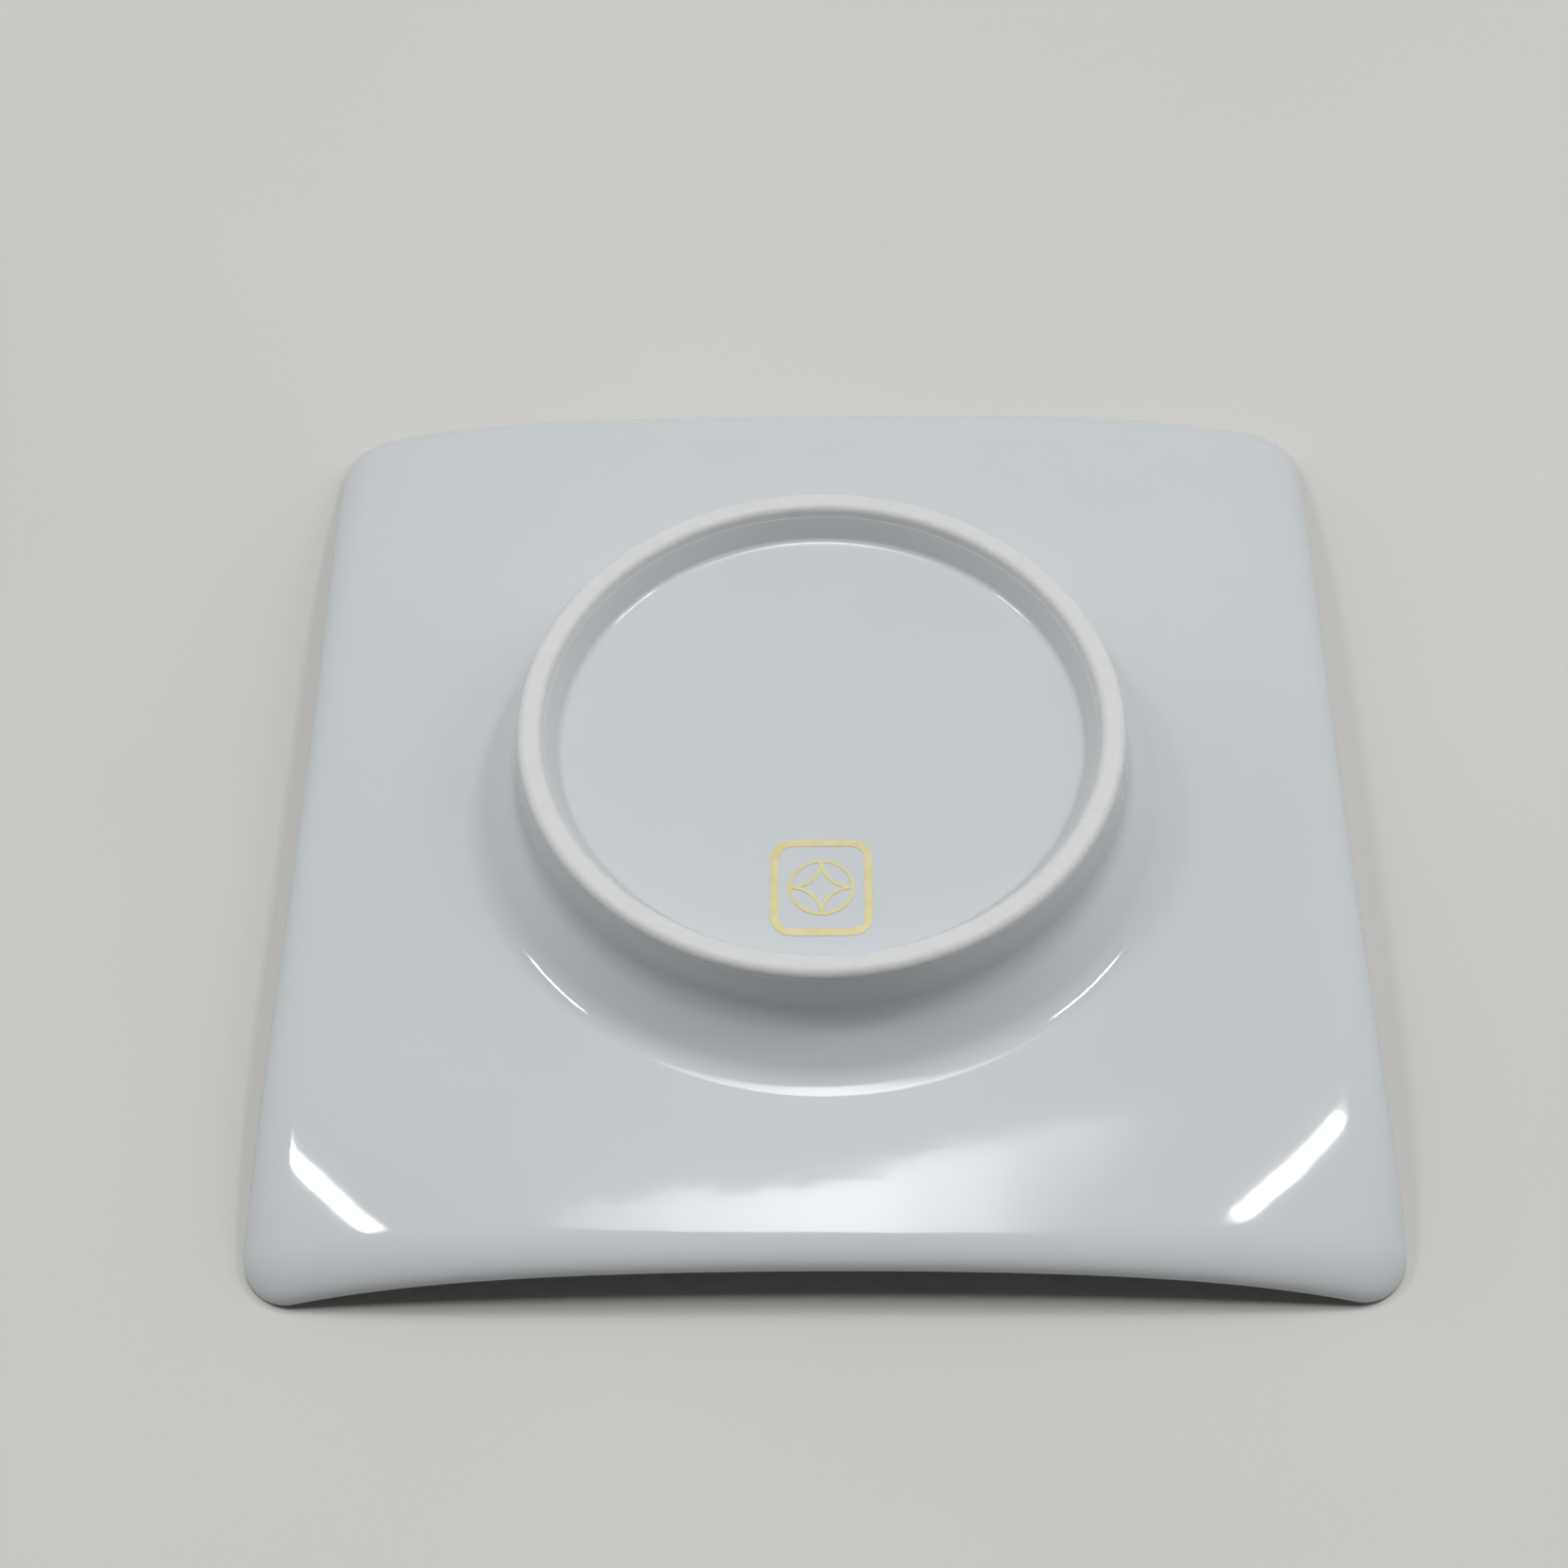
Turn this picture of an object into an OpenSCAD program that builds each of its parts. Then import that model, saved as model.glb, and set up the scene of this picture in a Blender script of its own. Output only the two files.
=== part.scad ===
// Square soy sauce dish of glazed porcelain, lying face down on the corners of its rim.
// A fired clay plate with a round well carries a foot ring, three glaze coats and a gilt mark.

/* [Plate] */
// Side of the square plate, over the glaze
side = 100; // [94:1:108]
// How far the middle of each side is drawn in from the corners
side_bow = 0.9; // [0.4:0.1:1.4]
// Radius of the corners in plan, over the glaze
corner_r = 4.6; // [4.5:0.1:8]
// Thickness of the fired clay wall
wall_t = 2.6; // [2.2:0.1:3]
// Drop of the flange from the crease to the corners
corner_drop = 5.1; // [4:0.1:6.5]
// Power of the curve by which the flange turns down: higher is flatter near the crease
drop_power = 3.6; // [2.6:0.05:4]

/* [Rim] */
// Width of the rounded turn along the rim, on the back
roll_w = 3.6; // [3:0.1:3.9]
// Share of the wall's thickness that the back turn takes
roll_share = 0.65; // [0.55:0.01:0.7]
// Width of the rounded turn along the rim, on the face
turn_w = 1.3; // [1:0.1:1.5]
// Distance from the rim to where the face glaze starts
rim_bare = 2.2; // [2:0.1:2.6]

/* [Well] */
// Width of the shoulder, from the neck out to the crease
shoulder_w = 4.3; // [3.6:0.1:6]
// Height of the shoulder, from the crease to the seat of the foot
shoulder_h = 7.2; // [6.5:0.1:8]
// Radius of the hollow at the crease
crease_fillet = 3.9; // [2.8:0.1:4.5]
// Height of the upright neck between the seat of the foot and the shoulder
neck_h = 3; // [2.4:0.1:3.4]
// Radius of the hollow between the neck and the shoulder
neck_fillet = 4.3; // [3:0.1:4.8]
// Radius between the well's wall and its floor
well_fillet = 3; // [2:0.1:4]

/* [Foot] */
// Outer diameter of the foot's bare edge
foot_d = 55.4; // [53:0.2:57]
// Width of the foot's bare edge
foot_edge = 2.1; // [1.8:0.1:2.6]
// Height of the foot above its seat
foot_h = 3.4; // [2.8:0.1:4]
// How much wider the foot is at its seat, on the outside
foot_draft = 0.05; // [0.04:0.01:0.4]
// How much wider the foot is at its seat, on the inside
foot_flare = 1.4; // [0.8:0.1:1.8]
// Radius of the bare edge's two corners
edge_round = 0.8; // [0.5:0.05:0.85]
// Width of the seat that shows round the foot
seat_margin = 0.05; // [0.04:0.01:0.1]

/* [Glaze] */
// Thickness of the glaze
glaze_t = 0.3; // [0.2:0.05:0.4]
// Share of that thickness where a coat stops
feather = 0.3; // [0.2:0.05:0.5]
// Distance from the foot's edge to where the glaze stops
glaze_stop = 0.95; // [0.9:0.05:1.2]
// Radius of the glaze where it pools inside the foot
pool_r = 0.7; // [0.4:0.1:1.2]

/* [Mark] */
// Width of the gilt frame
mark_w = 9; // [8:0.2:10]
// Length of the gilt frame, towards the middle of the foot
mark_l = 10.2; // [8:0.2:10.6]
// Outer radius of the frame's corners
mark_corner = 2; // [1.2:0.1:3]
// Width of the frame's line
mark_line = 0.7; // [0.4:0.05:0.9]
// Radius of the petal figure in the frame
petal_r = 2.8; // [2:0.1:3]
// Width of the figure's lines
petal_line = 0.3; // [0.2:0.05:0.4]
// Thickness of the gilding
mark_t = 0.06; // [0.04:0.01:0.1]
// Distance from the mark to where the base's flat floor ends
mark_margin = 1.8; // [0.8:0.1:4]

/* [Hidden] */
$fn = 96;

// Steps along half a side, round a corner, over the flange and round each curve of the section
half_side_steps = 6;
corner_steps = 6;
flange_steps = 5;
face_steps = 4;
curve_steps = 3;
round_steps = 4;
quarter = 2 * half_side_steps + corner_steps;
spokes = 4 * quarter;
corner_spoke = half_side_steps + corner_steps / 2;

// Plan of the clay: corner arcs joined by sides that bow in and meet them without a kink
clay_corner = corner_r - glaze_t;
corner_c = side / 2 - corner_r;
bow_angle = atan(2 * side_bow / corner_c);
side_run = corner_c - clay_corner * sin(bow_angle);
side_reach = corner_c + clay_corner * cos(bow_angle);
bow = side_run * tan(bow_angle) / 2;
corner_reach = sqrt(2) * corner_c + clay_corner;

// Section of the rim: the back turn and the face turn share the wall's thickness
roll_h = roll_share * wall_t;
turn_h = wall_t - roll_h;
roll_angles = [for (k = [1:curve_steps]) 90 * k / curve_steps];

// Section of the well: a short neck under the seat of the foot, then a shoulder that slopes to the crease
seat_out = foot_d / 2 + foot_draft;
land_r = seat_out + seat_margin;
shoulder_angle = atan2(shoulder_h - neck_h, shoulder_w);
half_turn = tan(shoulder_angle / 2);
neck_turn = 90 - shoulder_angle;
flange_r = land_r + shoulder_w + crease_fillet * half_turn;
floor_r = land_r - neck_h / tan(shoulder_angle) - (wall_t + well_fillet) * half_turn;

// Inner edge of the foot and its seat on the plate
edge_in = foot_d / 2 - foot_edge;
seat_in = edge_in - foot_flare;

// The base's flat floor ends where the glaze starts to rise up the foot's inner wall
inner_angle = atan2(foot_h, foot_flare);
base_r = seat_in - (glaze_t + pool_r) * tan(inner_angle / 2);

// The rim, one [point, outward angle] for each spoke
function turn(p, a) = [p.x * cos(a) - p.y * sin(a), p.x * sin(a) + p.y * cos(a)];
function turned(spot, a) = [turn(spot[0], a), spot[1] + a];
function ease(t) = t * (3 - t * t) / 2;
function side_spot(s) = [[s * side_run, bow * (1 - s * s) - side_reach], -90 - atan(s * tan(bow_angle))];
function corner_angle(t) = (90 + 2 * bow_angle) * t - 90 - bow_angle;
function corner_spot(t) =
    let (a = corner_angle(t))
    [[corner_c, -corner_c] + clay_corner * [cos(a), sin(a)], a];
function rim_spot(i) =
    let (k = i % quarter, a = 90 * floor(i / quarter))
    k <= half_side_steps ? turned(side_spot(ease(k / half_side_steps)), a)
    : k < half_side_steps + corner_steps ? turned(corner_spot((k - half_side_steps) / corner_steps), a)
    : turned(side_spot(ease((k - quarter) / half_side_steps)), a + 90);
rim = [for (i = [0:spokes - 1]) rim_spot(i)];

// Points in plan: on a circle, inside the rim, and part of the way between the two
function round_spot(i, r) = turn([r, 0], 360 * i / spokes - 90);
function inset(i, d) = rim[i][0] - d * [cos(rim[i][1]), sin(rim[i][1])];
function between(a, b, f) = a + f * (b - a);

// Fall of the flange below the crease, by distance from the middle
function drop(p) =
    corner_drop * pow(max(norm(p) - flange_r, 0) / (corner_reach - flange_r), drop_power);
function raised(p, z) = [p.x, p.y, crease_z - drop(p) + z];
function face_turn(i, a) =
    let (p = inset(i, turn_w * (1 - cos(a))))
    [p.x, p.y, -drop(p) - roll_h - turn_h * sin(a)];

// The corners' lowest points touch the table
crease_z = -min([for (a = roll_angles) face_turn(corner_spoke, a).z]);
land_z = crease_z + shoulder_h;
neck_z = land_z - neck_h + neck_fillet * tan(neck_turn / 2);
foot_top = land_z + foot_h;
base_z = land_z + glaze_t;

// Rings of the clay's skin
function level_ring(r, z) = [for (i = [0:spokes - 1]) [each round_spot(i, r), z]];
function neck_ring(a) = level_ring(land_r + neck_fillet * (1 - cos(a)), neck_z - neck_fillet * sin(a));
function crease_ring(a, offset) =
    level_ring(flange_r - (crease_fillet + offset) * sin(a),
        crease_z + crease_fillet - (crease_fillet + offset) * cos(a));
function flange_ring(f) =
    [for (i = [0:spokes - 1]) raised(between(round_spot(i, flange_r), inset(i, roll_w), f), 0)];
function roll_ring(a) =
    [for (i = [0:spokes - 1]) raised(inset(i, roll_w * (1 - sin(a))), roll_h * (cos(a) - 1))];
function turn_ring(a) = [for (i = [0:spokes - 1]) face_turn(i, a) + [0, 0, crease_z]];
function face_ring(f) =
    [for (i = [0:spokes - 1]) raised(between(inset(i, rim_bare), round_spot(i, flange_r), f), -wall_t)];
function floor_ring(a) =
    level_ring(floor_r + well_fillet * sin(a), land_z - wall_t - well_fillet * (1 - cos(a)));

crease_angles = [for (k = [curve_steps:-1:0]) shoulder_angle * k / curve_steps];
land_ring = level_ring(land_r, land_z);
back_rings = concat(
    [for (k = [0:curve_steps]) neck_ring(neck_turn * k / curve_steps)],
    [for (a = crease_angles) crease_ring(a, 0)],
    [for (k = [1:flange_steps]) flange_ring(k / flange_steps)],
    [for (a = roll_angles) roll_ring(a)]);
turn_rings = [for (a = roll_angles) turn_ring(a)];
face_rings = concat(
    [for (k = [0:face_steps]) face_ring(k / face_steps)],
    [for (k = [1:curve_steps]) crease_ring(shoulder_angle * k / curve_steps, wall_t)],
    [for (a = crease_angles) floor_ring(a)]);

// Rings round the foot's outer wall, which a coat of flat faces lies against without biting in
function foot_wall_r(z) = foot_d / 2 + foot_draft * (foot_top - edge_round - z) / (foot_h - edge_round);
function foot_wall_ring(z) = level_ring(foot_wall_r(z) / cos(180 / spokes), z);
coat_rings = concat(
    [foot_wall_ring(foot_top - glaze_stop), foot_wall_ring(land_z), land_ring],
    back_rings,
    [turn_rings[0]]);

// A coat's outer rings: the skin's rings moved out along its normals, thinner where the coat stops
function unit(v) = v / norm(v);
function normal(rings, j, i) =
    let (last = len(rings) - 1)
    let (along = rings[min(j + 1, last)][i] - rings[max(j - 1, 0)][i])
    let (across = rings[j][(i + 1) % spokes] - rings[j][(i + spokes - 1) % spokes])
    unit(cross(along, across));
function coated(rings, thickness) = [
    for (j = [0:len(rings) - 1])
        [for (i = [0:spokes - 1]) rings[j][i] + thickness[j] * normal(rings, j, i)]];
function reversed(list) = [for (j = [len(list) - 1:-1:0]) list[j]];

// Triangles between two rings, over a row of rings, and the same ones turned over
function spot(j, i) = j * spokes + i % spokes;
function band(a, b) = [
    for (i = [0:spokes - 1])
        each [[spot(a, i), spot(a, i + 1), spot(b, i + 1)], [spot(a, i), spot(b, i + 1), spot(b, i)]]];
function bands(first, last) = [for (j = [first:last - 1]) each band(j, j + 1)];
function turned_over(faces) = [for (face = faces) reversed(face)];
function cap(j) = [for (i = [0:spokes - 1]) spot(j, i)];

// A coat on the clay's own triangles: a band from edge to edge, or a bowl that is flat in the middle
module coat(skin, thickness, bowl) {
    last = len(skin) - 1;
    outer = last + 1;
    outer_last = outer + last;
    end = bowl ? [reversed(cap(last)), cap(outer_last)] : band(outer_last, last);
    points = [for (ring = concat(skin, coated(skin, thickness))) each ring];
    polyhedron(points, concat(turned_over(bands(0, last)), band(0, outer), bands(outer, outer_last), end));
}

// Square clay plate with its well, turned-down flange and rounded rim
module plate_body() {
    rings = concat([land_ring], back_rings, turn_rings, face_rings);
    last = len(rings) - 1;
    color("whitesmoke")
        polyhedron([for (ring = rings) each ring], concat(bands(0, last), [reversed(cap(0)), cap(last)]));
}

// Round foot, seated on the back of the well, with a flat bare edge
module foot_ring() {
    corner_angles = [for (k = [0:round_steps]) 90 * k / round_steps];
    outer_round = [for (a = corner_angles)
        [foot_d / 2 - edge_round * (1 - cos(a)), foot_top - edge_round * (1 - sin(a))]];
    inner_x = edge_in + edge_round * tan(inner_angle / 2);
    inner_round = [for (k = [0:round_steps])
        let (a = inner_angle * k / round_steps)
        [inner_x - edge_round * sin(a), foot_top - edge_round * (1 - cos(a))]];
    color("antiquewhite")
        rotate_extrude()
            polygon(concat([[seat_in, land_z], [seat_out, land_z]], outer_round, inner_round));
}

// Glaze over the foot's outer wall, the shoulder and the flange, round to the underside of the rim
module back_glaze() {
    thickness = [for (j = [0:len(coat_rings) - 1])
        j == 0 || j == len(coat_rings) - 1 ? feather * glaze_t : glaze_t];
    color("lightsteelblue")
        coat(coat_rings, thickness, bowl = false);
}

// Glaze over the eating face, from just inside the rim to the floor of the well
module face_glaze() {
    thickness = [for (j = [0:len(face_rings) - 1]) j == 0 ? feather * glaze_t : glaze_t];
    color("aliceblue")
        coat(face_rings, thickness, bowl = true);
}

// Glaze inside the foot: a flat floor that pools against the foot's sloping inner wall
module base_glaze() {
    inward = [-sin(inner_angle), cos(inner_angle)];
    upward = [cos(inner_angle), sin(inner_angle)];
    stop = [seat_in, land_z] + upward * (foot_h - glaze_stop) / sin(inner_angle);
    pool = [for (k = [0:round_steps])
        let (a = inner_angle * (1 - k / round_steps))
        [base_r, base_z] + pool_r * [sin(a), 1 - cos(a)]];
    color("lightsteelblue")
        rotate_extrude()
            polygon(concat(
                [[0, land_z], [seat_in, land_z], stop, stop + feather * glaze_t * inward],
                pool,
                [[0, base_z]]));
}

// A flat circular line of the mark's figure
module petal_ring() {
    difference() {
        circle(petal_r + petal_line / 2);
        circle(petal_r - petal_line / 2);
    }
}

// Outline of the mark's frame, or of the space in it
module mark_outline(margin) {
    core = [mark_w, mark_l] - 2 * [mark_corner, mark_corner];
    corner = mark_corner - margin;
    square(core + [2 * corner, 0], center = true);
    square(core + [0, 2 * corner], center = true);
    for (x = [-1, 1], y = [-1, 1])
        translate([x * core.x, y * core.y] / 2) circle(corner);
}

// Gilt mark: a rounded frame round a ring with four arcs that meet as petals
module gilt_mark() {
    color("darkkhaki")
        translate([0, mark_margin + mark_l / 2 - base_r, base_z])
            linear_extrude(mark_t) {
                difference() {
                    mark_outline(0);
                    mark_outline(mark_line);
                }
                petal_ring();
                for (x = [-1, 1], y = [-1, 1])
                    intersection() {
                        circle(petal_r);
                        translate([x, y] * petal_r) petal_ring();
                    }
            }
}

plate_body();
foot_ring();
back_glaze();
face_glaze();
base_glaze();
gilt_mark();
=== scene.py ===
import math

import bmesh
import bpy
from mathutils import Matrix, Vector


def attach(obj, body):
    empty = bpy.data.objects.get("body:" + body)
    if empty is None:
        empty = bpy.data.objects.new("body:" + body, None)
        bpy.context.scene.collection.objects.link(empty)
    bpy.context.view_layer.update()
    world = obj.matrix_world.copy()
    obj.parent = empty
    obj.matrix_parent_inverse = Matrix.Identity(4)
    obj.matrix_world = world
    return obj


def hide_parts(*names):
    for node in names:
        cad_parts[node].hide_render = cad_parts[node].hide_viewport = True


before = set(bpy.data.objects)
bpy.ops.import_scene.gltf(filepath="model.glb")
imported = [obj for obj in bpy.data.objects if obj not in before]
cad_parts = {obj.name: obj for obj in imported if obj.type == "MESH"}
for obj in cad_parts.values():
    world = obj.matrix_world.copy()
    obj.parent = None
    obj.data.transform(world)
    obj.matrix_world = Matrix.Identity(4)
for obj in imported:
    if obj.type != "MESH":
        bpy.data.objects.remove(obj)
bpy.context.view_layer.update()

scene = bpy.context.scene
mm = 0.001

# Sizes of the dish in millimetres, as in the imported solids, with finer steps and a thinner edge of the glaze
plate = {
    "side": 100, "sideBow": 0.9, "cornerR": 4.6, "wallT": 2.6,
    "cornerDrop": 5.1, "dropPower": 3.6,
    "rollW": 3.6, "rollShare": 0.65, "turnW": 1.3, "rimBare": 2.2,
    "shoulderW": 4.3, "shoulderH": 7.2, "creaseFillet": 3.9,
    "neckH": 3, "neckFillet": 4.3, "wellFillet": 3,
    "halfSideSteps": 34, "cornerSteps": 24, "flangeSteps": 26, "curveSteps": 12,
}
foot = {
    "outerD": 55.4, "edgeW": 2.1, "height": 3.4, "draft": 0.05, "flare": 1.4, "edgeRound": 0.8,
    "seatMargin": 0.05, "roundSteps": 6, "turnSteps": 256,
}
glazeCoat = {
    "thick": 0.3, "feather": 0.3, "stop": 0.95, "edge": 0.06, "poolR": 0.7, "poolSteps": 12,
    "stopWave": 0.03, "stopWaves": (5, 11, 23),  # the edge on the foot isn't quite level
    # way down from that edge, and the shares of the wave and of the thickness there
    "stopSteps": ((0, 1, 0.06), (0.3, 1, 0.2), (0.7, 0.7, 0.42), (1.2, 0.4, 0.7), (1.9, 0, 1)),
    "underRim": 3,  # rings of the rim's underside that the back's coat covers
}

# Plan of the rim: corner arcs joined by sides that bow in
clayCorner = plate["cornerR"] - glazeCoat["thick"]
cornerC = plate["side"] / 2 - plate["cornerR"]
bowAngle = math.atan(2 * plate["sideBow"] / cornerC)
sideRun = cornerC - clayCorner * math.sin(bowAngle)
sideReach = cornerC + clayCorner * math.cos(bowAngle)
sideBow = sideRun * math.tan(bowAngle) / 2
cornerReach = math.sqrt(2) * cornerC + clayCorner
quarter = 2 * plate["halfSideSteps"] + plate["cornerSteps"]
spokes = 4 * quarter

# Section: the rim's two turns, the shoulder and the well
rollH = plate["rollShare"] * plate["wallT"]
turnH = plate["wallT"] - rollH
landR = foot["outerD"] / 2 + foot["draft"] + foot["seatMargin"]
shoulderAngle = math.atan2(plate["shoulderH"] - plate["neckH"], plate["shoulderW"])
halfTurn = math.tan(shoulderAngle / 2)
neckTurn = math.pi / 2 - shoulderAngle
flangeR = landR + plate["shoulderW"] + plate["creaseFillet"] * halfTurn
floorR = landR - plate["neckH"] / math.tan(shoulderAngle) - (plate["wallT"] + plate["wellFillet"]) * halfTurn
edgeIn = foot["outerD"] / 2 - foot["edgeW"]
seatIn = edgeIn - foot["flare"]


def turned(x, y, angle):
    return Vector((x * math.cos(angle) - y * math.sin(angle), x * math.sin(angle) + y * math.cos(angle)))


def rimSpot(i):  # point on the rim and its outward direction
    k, turn = i % quarter, math.pi / 2 * (i // quarter)
    half, corner = plate["halfSideSteps"], plate["cornerSteps"]
    if half < k < half + corner:
        angle = (math.pi / 2 + 2 * bowAngle) * (k - half) / corner - math.pi / 2 - bowAngle
        x, y = cornerC + clayCorner * math.cos(angle), clayCorner * math.sin(angle) - cornerC
    else:
        if k > half:
            k, turn = k - quarter, turn + math.pi / 2
        s = k / half
        s = s * (3 - s * s) / 2  # closer together towards the corner
        x, y = s * sideRun, sideBow * (1 - s * s) - sideReach
        angle = -math.pi / 2 - math.atan(s * math.tan(bowAngle))
    return turned(x, y, turn), turned(1, 0, angle + turn)


rim = [rimSpot(i) for i in range(spokes)]
circle = [turned(1, 0, 2 * math.pi * i / spokes - math.pi / 2) for i in range(spokes)]


def drop(spot):  # fall of the flange below the crease
    out = max(spot.length - flangeR, 0) / (cornerReach - flangeR)
    return plate["cornerDrop"] * out ** plate["dropPower"]


def inset(i, distance):
    return rim[i][0] - distance * rim[i][1]


def levelRing(r, z):
    return [Vector((*(r * c), z)) for c in circle]


def flangeRing(spots, z):  # a ring that follows the flange's fall
    return [Vector((*s, creaseZ - drop(s) + z)) for s in spots]


def turnRing(angle):  # the rim's turn on the face side
    spots = [inset(i, plate["turnW"] * (1 - math.cos(angle))) for i in range(spokes)]
    return flangeRing(spots, -rollH - turnH * math.sin(angle))


def rollRing(angle):  # the rim's turn on the back
    spots = [inset(i, plate["rollW"] * (1 - math.sin(angle))) for i in range(spokes)]
    return flangeRing(spots, rollH * (math.cos(angle) - 1))


def spanRing(inner, outer, share, z):  # between the round crease and the square rim
    return flangeRing([a.lerp(b, share) for a, b in zip(inner, outer)], z)


def creaseRing(angle, out):
    r = plate["creaseFillet"] + out
    return levelRing(flangeR - r * math.sin(angle), creaseZ + plate["creaseFillet"] - r * math.cos(angle))


def steps(count, first=0):
    return [k / count for k in range(first, count + 1)]


# the crease is first at 0, then at the height that puts the corners' lowest points there
curve = plate["curveSteps"]
creaseZ = 0
creaseZ = -min(spot.z for t in steps(curve, 1) for spot in turnRing(math.pi / 2 * t))
landZ = creaseZ + plate["shoulderH"]
footTop = landZ + foot["height"]
neckZ = landZ - plate["neckH"] + plate["neckFillet"] * math.tan(neckTurn / 2)

mouth = [flangeR * c for c in circle]
rollStart = [inset(i, plate["rollW"]) for i in range(spokes)]
faceStart = [inset(i, plate["rimBare"]) for i in range(spokes)]

backRings = [levelRing(landR + plate["neckFillet"] * (1 - math.cos(neckTurn * t)),
                       neckZ - plate["neckFillet"] * math.sin(neckTurn * t)) for t in steps(curve)]
backRings += [creaseRing(shoulderAngle * (1 - t), 0) for t in steps(curve)]
backRings += [spanRing(mouth, rollStart, t, 0) for t in steps(plate["flangeSteps"], 1)]
backRings += [rollRing(math.pi / 2 * t) for t in steps(curve, 1)]
turnRings = [turnRing(math.pi / 2 * t) for t in steps(curve, 1)]
faceRings = [spanRing(faceStart, mouth, t, -plate["wallT"]) for t in steps(plate["flangeSteps"])]
faceRings += [creaseRing(shoulderAngle * t, plate["wallT"]) for t in steps(curve, 1)]
wellTurns = [shoulderAngle * (1 - t) for t in steps(curve)]
faceRings += [levelRing(floorR + plate["wellFillet"] * math.sin(a),
                        landZ - plate["wallT"] - plate["wellFillet"] * (1 - math.cos(a))) for a in wellTurns]
print("dish worked out: crease", round(creaseZ, 3), "seat", round(landZ, 3), "top", round(footTop, 3))


def coated(rings, thickness):  # the rings moved out along the skin's normals
    last = len(rings) - 1
    out = []
    for j, ring in enumerate(rings):
        before, after = rings[max(j - 1, 0)], rings[min(j + 1, last)]
        moved = []
        for i in range(spokes):
            across = ring[(i + 1) % spokes] - ring[i - 1]
            moved.append(ring[i] + thickness[j] * (after[i] - before[i]).cross(across).normalized())
        out.append(moved)
    return out


def pole(ring):  # a ring drawn together on the axis
    return [Vector((0, 0, ring[0].z)) for _ in ring]


def wrapGrid(rings):  # a grid wrapped round the dish, one row of it on each ring
    bm = bmesh.new()
    rows = len(rings) - 1
    bmesh.ops.create_grid(bm, x_segments=spokes, y_segments=rows, size=1)
    for v in bm.verts:
        i, j = round((v.co.x + 1) / 2 * spokes), round((v.co.y + 1) / 2 * rows)
        v.co = rings[j][i % spokes] * mm
    return bm


def spinProfile(points):  # a section turned round the axis
    bm = bmesh.new()
    verts = [bm.verts.new((r * mm, 0, z * mm)) for r, z in points]
    edges = [bm.edges.new((a, b)) for a, b in zip(verts, verts[1:] + verts[:1])]
    bmesh.ops.spin(bm, geom=verts + edges, cent=(0, 0, 0), axis=(0, 0, 1), dvec=(0, 0, 0),
                   angle=2 * math.pi, steps=foot["turnSteps"], use_merge=True)
    return bm


meshing = {"mergeGap": 1e-8, "sharpAngle": 50}


def makePiece(bm, name, material, node):
    bmesh.ops.remove_doubles(bm, verts=bm.verts, dist=meshing["mergeGap"])
    bmesh.ops.recalc_face_normals(bm, faces=bm.faces)
    mesh = bpy.data.meshes.new(name)
    bm.to_mesh(mesh)
    bm.free()
    mesh.shade_smooth()
    mesh.set_sharp_from_angle(angle=math.radians(meshing["sharpAngle"]))
    piece = bpy.data.objects.new(name, mesh)
    scene.collection.objects.link(piece)
    mesh.materials.append(material)
    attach(piece, "root")
    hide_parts(node)
    print("made", name, len(mesh.polygons), "faces")


def addNode(tree, kind, values=(), **settings):
    node = tree.nodes.new(kind)
    for key, value in settings.items():
        setattr(node, key, value)
    for socket, value in dict(values).items():
        node.inputs[socket].default_value = value
    return node


# Shader groups that the finishes share
number, colour, vector = "NodeSocketFloat", "NodeSocketColor", "NodeSocketVector"
noise = {"cloudDetail": 3, "cloudRoughness": 0.5, "cloudFrom": 0.35, "cloudTo": 0.65,
         "rippleDetail": 2, "rippleRoughness": 0.45, "swellDetail": 0}


def newGroup(name, inputs, outputs):
    group = bpy.data.node_groups.new(name, "ShaderNodeTree")
    for label, kind in inputs.items():
        group.interface.new_socket(label, in_out="INPUT", socket_type=kind)
    for label, kind in outputs.items():
        group.interface.new_socket(label, in_out="OUTPUT", socket_type=kind)
    return group, group.nodes.new("NodeGroupInput"), group.nodes.new("NodeGroupOutput")


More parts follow.
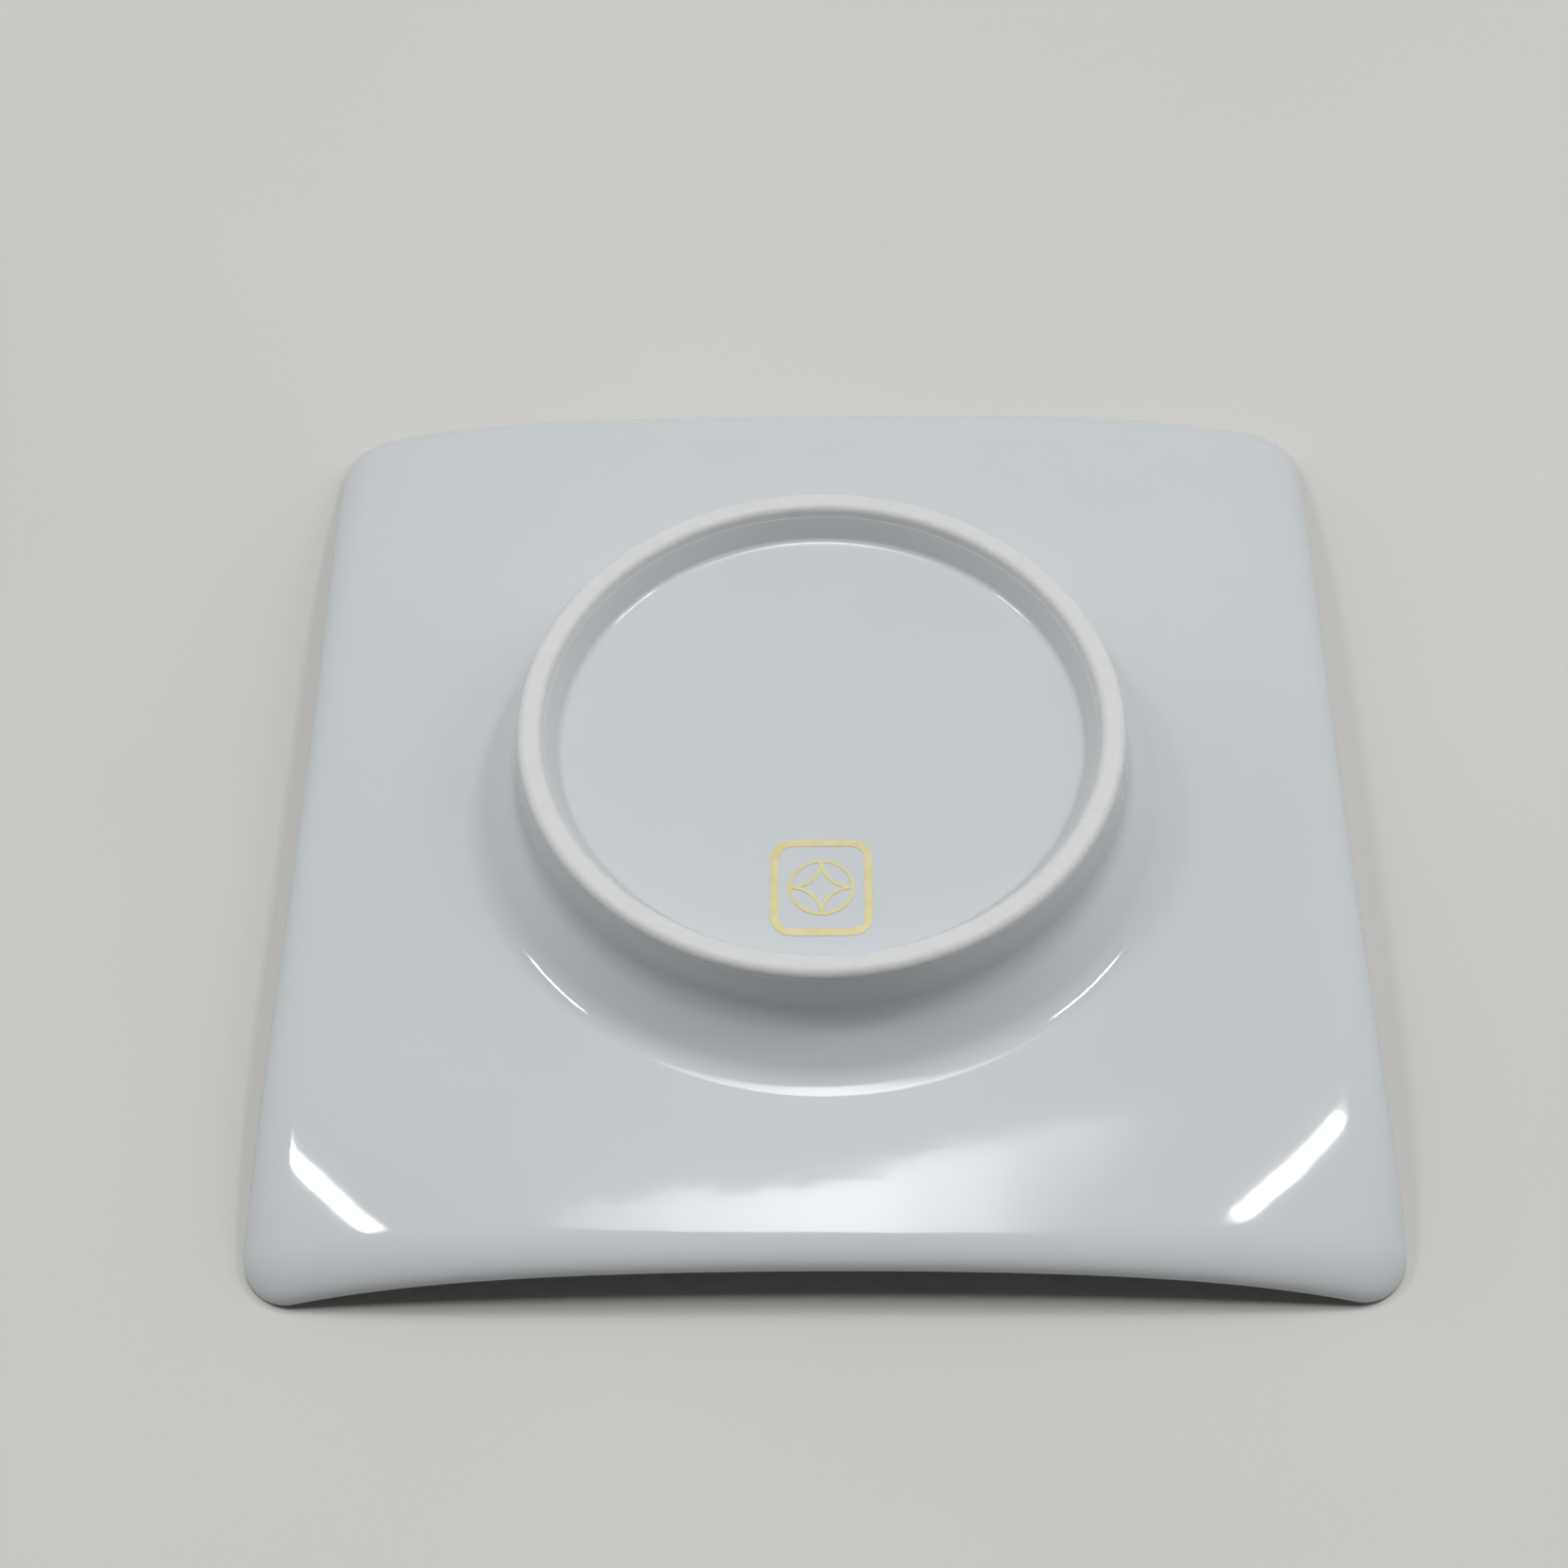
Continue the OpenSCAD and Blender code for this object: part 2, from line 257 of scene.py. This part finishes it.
def makeMottle():  # clouds between two colours, and a height of fine ripples on a slow swell
    group, given, result = newGroup(
        "mottle",
        {"Vector": vector, "Light": colour, "Dark": colour, "Cloud Size": number,
         "Ripple Size": number, "Swell Size": number, "Swell Share": number},
        {"Color": colour, "Height": number})
    cloud = addNode(group, "ShaderNodeTexNoise",
                    {"Detail": noise["cloudDetail"], "Roughness": noise["cloudRoughness"]})
    ripple = addNode(group, "ShaderNodeTexNoise",
                     {"Detail": noise["rippleDetail"], "Roughness": noise["rippleRoughness"]})
    swell = addNode(group, "ShaderNodeTexNoise", {"Detail": noise["swellDetail"]})
    spread = addNode(group, "ShaderNodeMapRange",
                     {"From Min": noise["cloudFrom"], "From Max": noise["cloudTo"]})
    mix = addNode(group, "ShaderNodeMix", data_type="RGBA")
    height = addNode(group, "ShaderNodeMath", operation="MULTIPLY_ADD")
    link = group.links.new
    for texture, size in ((cloud, "Cloud Size"), (ripple, "Ripple Size"), (swell, "Swell Size")):
        link(given.outputs["Vector"], texture.inputs["Vector"])
        link(given.outputs[size], texture.inputs["Scale"])
    link(cloud.outputs["Fac"], spread.inputs["Value"])
    link(spread.outputs["Result"], mix.inputs["Factor"])
    link(given.outputs["Light"], mix.inputs["A"])
    link(given.outputs["Dark"], mix.inputs["B"])
    link(mix.outputs["Result"], result.inputs["Color"])
    link(swell.outputs["Fac"], height.inputs[0])
    link(given.outputs["Swell Share"], height.inputs[1])
    link(ripple.outputs["Fac"], height.inputs[2])
    link(height.outputs["Value"], result.inputs["Height"])
    return group


def makeThinning():  # the glaze takes on the look of the clay at its edge on the foot
    group, given, result = newGroup(
        "thinning",
        {"Vector": vector, "Color": colour, "Edge Color": colour, "Roughness": number,
         "Edge Roughness": number, "Start": number, "End": number},
        {"Color": colour, "Roughness": number})
    split = addNode(group, "ShaderNodeSeparateXYZ")
    rise = addNode(group, "ShaderNodeMapRange", interpolation_type="SMOOTHSTEP")
    tint = addNode(group, "ShaderNodeMix", data_type="RGBA")
    rough = addNode(group, "ShaderNodeMix")
    link = group.links.new
    link(given.outputs["Vector"], split.inputs["Vector"])
    link(split.outputs["Z"], rise.inputs["Value"])
    link(given.outputs["Start"], rise.inputs["From Min"])
    link(given.outputs["End"], rise.inputs["From Max"])
    for label, mix in (("Color", tint), ("Roughness", rough)):
        link(rise.outputs["Result"], mix.inputs["Factor"])
        link(given.outputs[label], mix.inputs["A"])
        link(given.outputs["Edge " + label], mix.inputs["B"])
        link(mix.outputs["Result"], result.inputs[label])
    return group


mottle = makeMottle()
thinning = makeThinning()

# Finishes
whiteGlaze = {
    "light": (0.535, 0.565, 0.584, 1), "dark": (0.52, 0.553, 0.576, 1), "cloudSize": 40,
    "rippleSize": 260, "rippleDepth": 0.000012, "swellSize": 75, "swellShare": 11,
    "roughness": 0.07, "ior": 1.5, "thinFrom": 1.12,
}
bareClay = {
    "light": (0.61, 0.618, 0.618, 1), "dark": (0.588, 0.594, 0.592, 1), "cloudSize": 700,
    "rippleSize": 4000, "rippleDepth": 0.00003, "swellSize": 300, "swellShare": 1,
    "roughness": 0.5, "specular": 0.4,
}
gilding = {
    "light": (0.55, 0.49, 0.235, 1), "dark": (0.585, 0.54, 0.315, 1), "cloudSize": 900,
    "rippleSize": 2500, "rippleDepth": 0.00001, "swellSize": 400, "swellShare": 1,
    "roughness": 0.38, "metallic": 0.3,
}
socketOf = {"roughness": "Roughness", "ior": "IOR", "specular": "Specular IOR Level", "metallic": "Metallic"}


def makeFinish(name, look):
    material = bpy.data.materials.new(name)
    material.use_nodes = True
    tree = material.node_tree
    link = tree.links.new
    shader = tree.nodes["Principled BSDF"]
    for key, socket in socketOf.items():
        if key in look:
            shader.inputs[socket].default_value = look[key]
    spot = addNode(tree, "ShaderNodeTexCoord").outputs["Object"]
    clouds = addNode(tree, "ShaderNodeGroup", {
        "Light": look["light"], "Dark": look["dark"], "Cloud Size": look["cloudSize"],
        "Ripple Size": look["rippleSize"], "Swell Size": look["swellSize"],
        "Swell Share": look["swellShare"]}, node_tree=mottle)
    bump = addNode(tree, "ShaderNodeBump", {"Strength": 1, "Distance": look["rippleDepth"]})
    link(spot, clouds.inputs["Vector"])
    link(clouds.outputs["Color"], shader.inputs["Base Color"])
    link(clouds.outputs["Height"], bump.inputs["Height"])
    link(bump.outputs["Normal"], shader.inputs["Normal"])
    if "thinFrom" in look:
        edge = addNode(tree, "ShaderNodeGroup", {
            "Edge Color": bareClay["light"], "Roughness": look["roughness"],
            "Edge Roughness": bareClay["roughness"], "Start": (footTop - look["thinFrom"]) * mm,
            "End": (footTop - glazeCoat["stop"]) * mm}, node_tree=thinning)
        link(spot, edge.inputs["Vector"])
        link(clouds.outputs["Color"], edge.inputs["Color"])
        link(edge.outputs["Color"], shader.inputs["Base Color"])
        link(edge.outputs["Roughness"], shader.inputs["Roughness"])
    return material


glazeMaterial = makeFinish("whiteGlaze", whiteGlaze)
clayMaterial = makeFinish("bareClay", bareClay)
giltMaterial = makeFinish("gilding", gilding)
print("finishes made")

# Fired clay plate, from the seat of the foot over the rim to the floor of the well
bodyRings = [levelRing(landR, landZ)] + backRings + turnRings + faceRings
makePiece(wrapGrid([pole(bodyRings[0])] + bodyRings + [pole(bodyRings[-1])]),
          "plateBody", clayMaterial, "plate_body")

# Foot with its bare edge
edgeR = foot["edgeRound"]
footSection = [(seatIn, landZ), (foot["outerD"] / 2 + foot["draft"], landZ)]
roundTurns = [math.pi / 2 * t for t in steps(foot["roundSteps"])]
footSection += [(foot["outerD"] / 2 - edgeR * (1 - math.cos(a)), footTop - edgeR * (1 - math.sin(a)))
                for a in roundTurns]
innerAngle = math.atan2(foot["height"], foot["flare"])
innerX = edgeIn + edgeR * math.tan(innerAngle / 2)
innerTurns = [innerAngle * t for t in steps(foot["roundSteps"])]
footSection += [(innerX - edgeR * math.sin(a), footTop - edgeR * (1 - math.cos(a))) for a in innerTurns]
makePiece(spinProfile(footSection), "footRing", clayMaterial, "foot_ring")


def footWallRing(down, wave):  # a ring round the foot's outer wall, some way below its edge
    ring = []
    for i, c in enumerate(circle):
        turn = 2 * math.pi * i / spokes
        depth = down + wave * sum(math.sin(n * turn + n * n) for n in glazeCoat["stopWaves"])
        r = foot["outerD"] / 2 + foot["draft"] * (depth - edgeR) / (foot["height"] - edgeR)
        ring.append(Vector((*(r * c), footTop - depth)))
    return ring


# Glaze of the back, from the foot's outer wall round to the underside of the rim
coatRings = [footWallRing(glazeCoat["stop"] + down, glazeCoat["stopWave"] * share)
             for down, share, _ in glazeCoat["stopSteps"]]
coatRings += backRings + turnRings[:glazeCoat["underRim"]]
thickness = [glazeCoat["thick"]] * len(coatRings)
for k, (_, _, share) in enumerate(glazeCoat["stopSteps"]):
    thickness[k] *= share
thickness[-1] *= glazeCoat["feather"]
outerRings = coated(coatRings, thickness)
makePiece(wrapGrid(coatRings + outerRings[::-1] + coatRings[:1]),
          "backGlaze", glazeMaterial, "back_glaze")

# Glaze of the eating face
thickness = [glazeCoat["thick"]] * len(faceRings)
thickness[0] *= glazeCoat["feather"]
outerRings = coated(faceRings, thickness)
makePiece(wrapGrid([pole(faceRings[-1])] + faceRings[::-1] + outerRings + [pole(outerRings[-1])]),
          "faceGlaze", glazeMaterial, "face_glaze")

# Glaze inside the foot, which pools against the sloping inner wall
poolR = glazeCoat["poolR"]
baseZ = landZ + glazeCoat["thick"]
baseR = seatIn - (glazeCoat["thick"] + poolR) * math.tan(innerAngle / 2)
wallUp = (foot["height"] - glazeCoat["stop"]) / math.tan(innerAngle)
stopEdge = (seatIn + wallUp, footTop - glazeCoat["stop"])
thin = glazeCoat["edge"] * glazeCoat["thick"]
baseSection = [(0, landZ), (seatIn, landZ), stopEdge,
               (stopEdge[0] - thin * math.sin(innerAngle), stopEdge[1] + thin * math.cos(innerAngle))]
poolTurns = [innerAngle * (1 - t) for t in steps(glazeCoat["poolSteps"])]
baseSection += [(baseR + poolR * math.sin(a), baseZ + poolR * (1 - math.cos(a))) for a in poolTurns]
baseSection += [(0, baseZ)]
makePiece(spinProfile(baseSection), "baseGlaze", glazeMaterial, "base_glaze")

# Gilt mark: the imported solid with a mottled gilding
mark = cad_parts["gilt_mark"]
mark.data.materials.clear()
mark.data.materials.append(giltMaterial)
print("mark gilded")

# Light: a dim room with a pale horizon and a glow from each side, which is seen as a plain pale colour.
# The glaze doesn't mirror the key lamps; its highlights are the soft box and the two bars
room = {
    "colour": (1, 1, 1, 1), "base": 0.02, "horizon": 0.05, "horizonRise": 0.22,
    "seen": (0.59, 0.583, 0.557, 1), "lampDistance": 1.2,
    "glows": [{"way": (-0.9, 0.3, 0.3), "power": 16, "strength": 1.85},
              {"way": (0.9, 0.3, 0.3), "power": 16, "strength": 2.1}],
}
lamps = [
    {"name": "keyTop", "width": 0.26, "watts": 3.9, "gloss": False,
     "ends": ((0.04, -0.14, 0.99), (0.04, 0.03, 1))},
    {"name": "keyLeft", "width": 0.25, "watts": 0.8, "gloss": False,
     "ends": ((-0.55, 0.02, 0.835), (-0.75, 0.02, 0.661))},
    {"name": "keyRight", "width": 0.25, "watts": 1.4, "gloss": False,
     "ends": ((0.55, 0.02, 0.835), (0.75, 0.02, 0.661))},
    {"name": "softBox", "width": 0.636, "watts": 7.6, "gloss": True,
     "ends": ((0.085, -0.02, 0.996), (0.085, 0.444, 0.892)), "fade": (-0.1, 0.347, 0.686)},
    {"name": "barLeft", "width": 0.062, "watts": 1.9, "gloss": True,
     "ends": ((-0.569, 0.19, 0.8), (-0.453, 0.098, 0.886))},
    {"name": "barRight", "width": 0.06, "watts": 2.2, "gloss": True,
     "ends": ((0.4565, 0.269, 0.848), (0.3705, 0.167, 0.914))},
]


def seenRays(tree):  # one for the camera's own rays and those by way of gloss or glass
    rays = addNode(tree, "ShaderNodeLightPath")
    mirrored = addNode(tree, "ShaderNodeMath", operation="MAXIMUM")
    seen = addNode(tree, "ShaderNodeMath", operation="MAXIMUM")
    tree.links.new(rays.outputs["Is Glossy Ray"], mirrored.inputs[0])
    tree.links.new(rays.outputs["Is Transmission Ray"], mirrored.inputs[1])
    tree.links.new(rays.outputs["Is Camera Ray"], seen.inputs[0])
    tree.links.new(mirrored.outputs["Value"], seen.inputs[1])
    return seen.outputs["Value"]


def showPlain(tree, share, usual, plain, output):  # mixes the plain background in by a share
    either = addNode(tree, "ShaderNodeMixShader")
    tree.links.new(share, either.inputs["Fac"])
    tree.links.new(usual, either.inputs[1])
    tree.links.new(plain, either.inputs[2])
    tree.links.new(either.outputs["Shader"], tree.nodes[output].inputs["Surface"])


def lightRoom():
    world = bpy.data.worlds.new("room")
    scene.world = world
    world.use_nodes = True
    tree = world.node_tree
    link = tree.links.new
    dim = tree.nodes["Background"]
    dim.inputs["Color"].default_value = room["colour"]
    sky = addNode(tree, "ShaderNodeTexCoord").outputs["Generated"]
    height = addNode(tree, "ShaderNodeSeparateXYZ")
    low = addNode(tree, "ShaderNodeMapRange", {"From Min": 0, "From Max": room["horizonRise"],
                                               "To Min": room["horizon"], "To Max": room["base"]})
    link(sky, height.inputs["Vector"])
    link(height.outputs["Z"], low.inputs["Value"])
    total = low.outputs["Result"]
    for glow in room["glows"]:
        way = Vector(glow["way"]).normalized()
        facing = addNode(tree, "ShaderNodeVectorMath", {1: way}, operation="DOT_PRODUCT")
        ahead = addNode(tree, "ShaderNodeMath", {1: 0}, operation="MAXIMUM")
        lobe = addNode(tree, "ShaderNodeMath", {1: glow["power"]}, operation="POWER")
        grown = addNode(tree, "ShaderNodeMath", {1: glow["strength"]}, operation="MULTIPLY_ADD")
        link(sky, facing.inputs[0])
        link(facing.outputs["Value"], ahead.inputs[0])
        link(ahead.outputs["Value"], lobe.inputs[0])
        link(lobe.outputs["Value"], grown.inputs[0])
        link(total, grown.inputs[2])
        total = grown.outputs["Value"]
    link(total, dim.inputs["Strength"])
    plain = addNode(tree, "ShaderNodeBackground", {"Color": room["seen"]})
    showPlain(tree, seenRays(tree), dim.outputs["Background"], plain.outputs["Background"], "World Output")


def fadeLamp(light, leftEnd, brightest, rightEnd):  # a round lamp, brightest along one line across it
    light.shape = "ELLIPSE"
    light.use_nodes = True
    tree = light.node_tree
    link = tree.links.new
    place = addNode(tree, "ShaderNodeNewGeometry")
    across = addNode(tree, "ShaderNodeSeparateXYZ")
    both = addNode(tree, "ShaderNodeMath", operation="MULTIPLY")
    link(place.outputs["Parametric"], across.inputs["Vector"])
    for k, end in enumerate((leftEnd, rightEnd)):
        slope = addNode(tree, "ShaderNodeMapRange", {"From Min": end, "From Max": brightest},
                        interpolation_type="SMOOTHSTEP")
        link(across.outputs["X"], slope.inputs["Value"])
        link(slope.outputs["Result"], both.inputs[k])
    link(both.outputs["Value"], tree.nodes["Emission"].inputs["Strength"])


def hangLamp(lamp):  # its length runs between the two end directions
    first, last = (Vector(end).normalized() * room["lampDistance"] for end in lamp["ends"])
    along, middle = (last - first).normalized(), (first + last) / 2
    out = (middle - middle.dot(along) * along).normalized()
    light = bpy.data.lights.new(lamp["name"], "AREA")
    light.shape = "RECTANGLE"
    light.size = lamp["width"]
    light.size_y = (last - first).length
    light.energy = lamp["watts"]
    if "fade" in lamp:
        fadeLamp(light, *lamp["fade"])
    holder = bpy.data.objects.new(lamp["name"], light)
    turn = Matrix((along.cross(out), along, out)).transposed().to_4x4()
    holder.matrix_world = Matrix.Translation(middle) @ turn
    holder.visible_glossy = lamp["gloss"]
    scene.collection.objects.link(holder)


lightRoom()
for lamp in lamps:
    hangLamp(lamp)
print("room lit with", len(lamps), "lamps")

# Floor
floor = {
    "half": 3.0, "light": (0.58, 0.575, 0.55, 1), "dark": (0.557, 0.552, 0.529, 1), "cloudSize": 9,
    "rippleSize": 700, "rippleDepth": 0.00002, "swellSize": 60, "swellShare": 2,
    "roughness": 0.6, "specular": 0.2, "fadeFrom": 0.12, "fadeTo": 0.4,
}


def fadeFloor(tree):  # far from the dish the floor is seen to fade into the plain background
    spot = addNode(tree, "ShaderNodeTexCoord").outputs["Object"]
    distance = addNode(tree, "ShaderNodeVectorMath", operation="LENGTH")
    far = addNode(tree, "ShaderNodeMapRange", {"From Min": floor["fadeFrom"], "From Max": floor["fadeTo"]},
                  interpolation_type="SMOOTHSTEP")
    share = addNode(tree, "ShaderNodeMath", operation="MULTIPLY")
    plain = addNode(tree, "ShaderNodeEmission", {"Color": room["seen"]})
    tree.links.new(spot, distance.inputs[0])
    tree.links.new(distance.outputs["Value"], far.inputs["Value"])
    tree.links.new(far.outputs["Result"], share.inputs[0])
    tree.links.new(seenRays(tree), share.inputs[1])
    usual = tree.nodes["Principled BSDF"].outputs["BSDF"]
    showPlain(tree, share.outputs["Value"], usual, plain.outputs["Emission"], "Material Output")


bm = bmesh.new()
bmesh.ops.create_grid(bm, x_segments=2, y_segments=2, size=floor["half"])
floorMesh = bpy.data.meshes.new("floor")
bm.to_mesh(floorMesh)
bm.free()
floorPiece = bpy.data.objects.new("floor", floorMesh)
scene.collection.objects.link(floorPiece)
floorMaterial = makeFinish("floorPaper", floor)
fadeFloor(floorMaterial.node_tree)
floorMesh.materials.append(floorMaterial)
print("floor laid")

# Camera, set from the picture's square frame: frame and focal length in pixels, places in millimetres
view = {"frame": 1661, "focal": 2999.72, "sensor": 36, "clipStart": 0.01,
        "elevation": 53.415, "yaw": 1.495, "roll": -1.518, "distance": 274.76, "aim": (-3.65, 5.69, 0)}
cameraData = bpy.data.cameras.new("camera")
cameraData.sensor_fit = "HORIZONTAL"
cameraData.sensor_width = view["sensor"]
cameraData.lens = view["sensor"] * view["focal"] / view["frame"]
cameraData.clip_start = view["clipStart"]
camera = bpy.data.objects.new("camera", cameraData)
elevation, yaw, roll = (math.radians(view[key]) for key in ("elevation", "yaw", "roll"))
away = Vector((math.sin(yaw) * math.cos(elevation),
               -math.cos(yaw) * math.cos(elevation),
               math.sin(elevation)))
right = (-away).cross(Vector((0, 0, 1))).normalized()
up = right.cross(-away)
sideways = right * math.cos(roll) + up * math.sin(roll)
upward = up * math.cos(roll) - right * math.sin(roll)
camera.matrix_world = (Matrix.Translation((Vector(view["aim"]) + away * view["distance"]) * mm)
                       @ Matrix((sideways, upward, away)).transposed().to_4x4())
scene.collection.objects.link(camera)
scene.camera = camera
scene.view_settings.view_transform = "Standard"
print("camera set")

bpy.context.view_layer.update()
